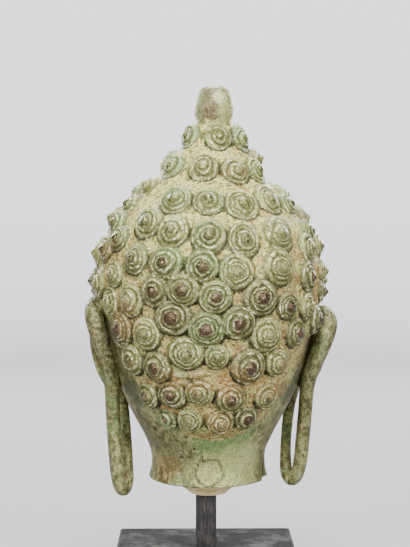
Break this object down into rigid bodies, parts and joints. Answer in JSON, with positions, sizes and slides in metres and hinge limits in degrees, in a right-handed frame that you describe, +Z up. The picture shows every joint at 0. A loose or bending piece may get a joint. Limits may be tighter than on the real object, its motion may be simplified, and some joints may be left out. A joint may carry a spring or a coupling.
{
  "type": "buddha head",
  "caption": "Cast bronze buddha head with snail-shell curls, a knobbed cranial bump and long split ear lobes, on a square rod and block.",
  "frame": {"origin": "centre of the base block's underside", "axes": "+Z up along the rod, the figure faces -Y, +X is the figure's left"},
  "size_m": [0.1707, 0.1748, 0.3645],
  "materials": {
    "patinated_bronze": "dark bronze under a pale olive to grey-green patina, with tan dirt in the hollows",
    "plaster": "matt cream plaster",
    "rod_paint": "black paint on steel, scuffed and chipped",
    "block_paint": "black painted wood, scuffed"
  },
  "bodies": {
    "root": {"bronze_head": "patinated_bronze", "plaster_plug": "plaster", "square_rod": "rod_paint", "base_block": "block_paint"}
  },
  "joints": []
}
